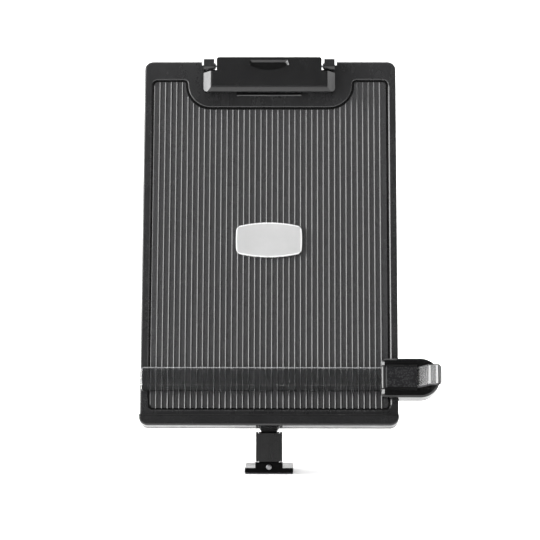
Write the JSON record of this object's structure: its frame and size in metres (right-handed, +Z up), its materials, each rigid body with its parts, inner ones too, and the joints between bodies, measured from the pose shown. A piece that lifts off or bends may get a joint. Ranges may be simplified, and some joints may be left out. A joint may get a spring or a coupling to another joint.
{
  "type": "copy holder with line guide",
  "caption": "Leaning document board on a small hinged foot, with a sprung paper clip at the top, a ledge at the bottom and a clear line guide that slides along one edge.",
  "frame": {"origin": "centre of the foot's underside, on the desk", "axes": "+Z up; +X to the reader's right, towards the line guide's slider; -Y towards the reader; the board leans back towards +Y"},
  "size_m": [0.2729, 0.1127, 0.3828],
  "materials": {
    "panel_black": "moulded black plastic, satin gloss, ribbed field",
    "rear_black": "moulded black plastic, fine texture",
    "ledge_black": "moulded black plastic, satin gloss",
    "clip_black": "moulded black plastic, gloss",
    "slider_black": "moulded black plastic, satin gloss",
    "grip_black": "black plastic with a fine grained top",
    "link_black": "steel channel with a satin black coat",
    "bracket_black": "cast metal with a fine black powder coat",
    "foot_black": "die-cast metal with a satin black coat, heavy enough to hold the board up",
    "ruler_clear": "clear plastic, polished",
    "tab_clear": "clear plastic, polished, thumb pad with one fine groove",
    "badge_silver": "light grey satin plate with a raised rim, bare",
    "strip_steel": "thin polished strip",
    "screw_steel": "bright plated round head",
    "pin_steel": "ground pin",
    "spring_steel": "drawn spring wire",
    "black_screws": "black oxide finish",
    "jaw_rubber": "soft matt rubber",
    "felt": "pressed felt",
    "foam": "closed-cell foam pad with adhesive face",
    "nylon": "natural nylon washer"
  },
  "bodies": {
    "foot": {"foot_base": "foot_black", "adhesive_pad": "foam", "foot_pin": "pin_steel", "tension_screw": "screw_steel"},
    "link": {"link_channel": "link_black", "tilt_pin": "pin_steel", "tilt_washers": "nylon"},
    "board": {"back_bracket": "bracket_black", "bracket_screws": "black_screws", "front_panel": "panel_black", "rear_cover": "rear_black", "panel_screws": "black_screws", "paper_ledge": "ledge_black", "ledge_screws": "black_screws", "badge_plate": "badge_silver", "clip_hinge_pin": "pin_steel", "clip_springs": "spring_steel"},
    "clip": {"clip_cover": "clip_black", "jaw_strip": "strip_steel", "jaw_pad": "jaw_rubber"},
    "slider": {"slider_base": "slider_black", "slider_rear": "slider_black", "slider_cover": "grip_black", "slider_screws": "black_screws", "slider_pad": "felt", "guide_pivot_pin": "pin_steel", "guide_spring": "spring_steel"},
    "guide": {"guide_ruler": "ruler_clear", "lift_tab": "tab_clear", "guide_screws": "screw_steel"}
  },
  "joints": [
    {"name": "foot_tilt", "type": "hinge", "parent": "foot", "child": "link", "pos_m": [0, -0.0196, 0.0076], "axis": [-1, 0, 0], "range_deg": [0, 30]},
    {"name": "board_tilt", "type": "hinge", "parent": "link", "child": "board", "pos_m": [0, -0.0163, 0.033], "axis": [-1, 0, 0], "range_deg": [-14.5, 35]},
    {"name": "clip_open", "type": "hinge", "parent": "board", "child": "clip", "pos_m": [0, 0.05166, 0.37446], "axis": [-1, 0, 0], "range_deg": [0, 20], "stiffness_Nm_per_rad": 0.15, "springref_deg": -40.11},
    {"name": "guide_slide", "type": "slide", "parent": "board", "child": "slider", "axis": [0, 0.2504, 0.9681], "range_m": [-0.0153, 0.25]},
    {"name": "guide_lift", "type": "hinge", "parent": "slider", "child": "guide", "pos_m": [0.127, -0.02417, 0.08684], "axis": [0, 0.2504, 0.9681], "range_deg": [0, 6], "stiffness_Nm_per_rad": 0.25, "springref_deg": -11.46}
  ]
}
